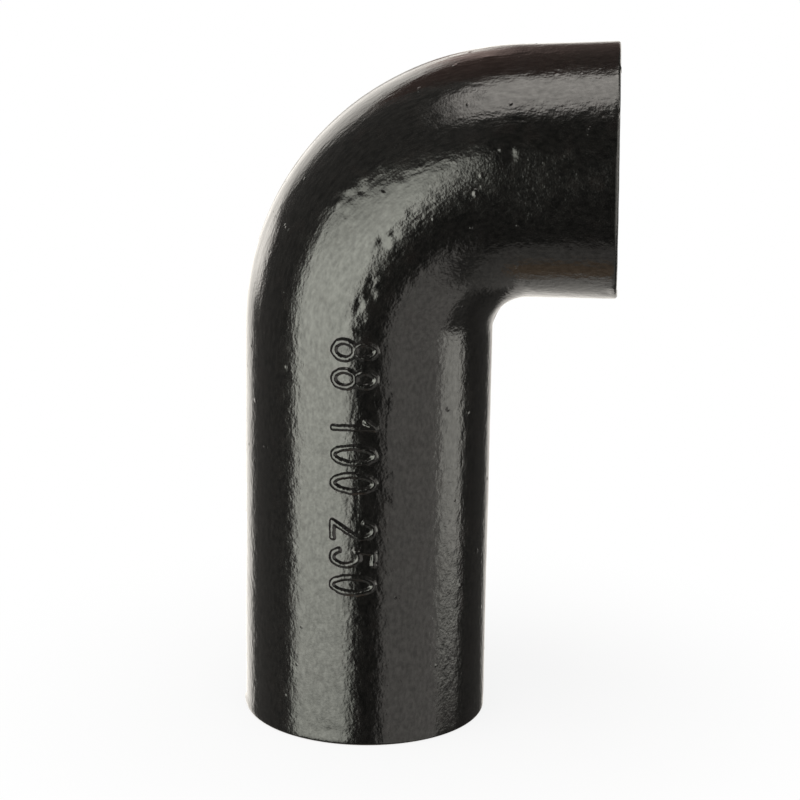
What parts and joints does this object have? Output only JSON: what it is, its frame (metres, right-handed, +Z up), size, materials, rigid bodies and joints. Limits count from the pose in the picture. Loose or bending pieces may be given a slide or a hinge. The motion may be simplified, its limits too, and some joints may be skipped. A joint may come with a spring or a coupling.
{
  "type": "soil pipe bend",
  "caption": "Plain-ended cast iron soil pipe bend, near right angle, with a long straight tail and a short spigot, painted gloss black.",
  "frame": {"origin": "centre of the tail's open end", "axes": "+Z up along the tail's axis, +X towards the side that the short spigot points to"},
  "size_m": [0.1673, 0.111, 0.3093],
  "materials": {
    "black_paint_on_cast_iron": "gloss black paint over an as-cast skin"
  },
  "bodies": {
    "root": {"pipe_bend": "black_paint_on_cast_iron"}
  },
  "joints": []
}
